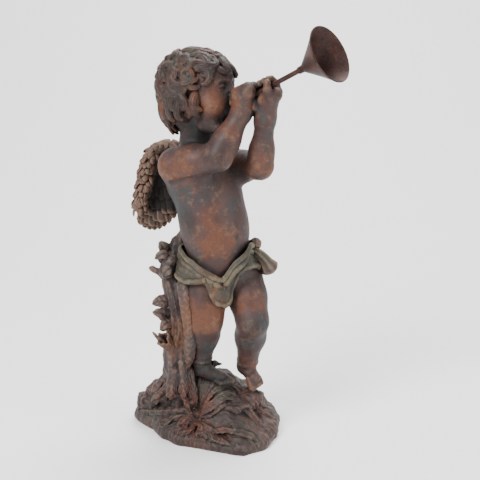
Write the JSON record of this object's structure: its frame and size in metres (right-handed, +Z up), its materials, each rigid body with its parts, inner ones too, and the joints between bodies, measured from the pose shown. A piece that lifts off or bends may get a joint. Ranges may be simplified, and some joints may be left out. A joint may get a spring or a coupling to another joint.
{
  "type": "angel statue",
  "caption": "Curly-haired cherub standing by a tree stump on a low rock, blowing a long horn with a cone-shaped bell.",
  "frame": {"origin": "in the rock's flat underside, below the figure", "axes": "+Z up, -Y toward the side the statue is shown from, +X toward the horn's bell"},
  "size_m": [0.3549, 0.3283, 0.7007],
  "materials": {
    "patina_resin": "cast resin with a painted rust and bronze patina, matte to satin",
    "horn_metal": "dark brown painted sheet metal, satin"
  },
  "bodies": {
    "root": {"cherub_casting": "patina_resin", "horn_stem": "horn_metal", "horn_bell": "horn_metal"}
  },
  "joints": []
}
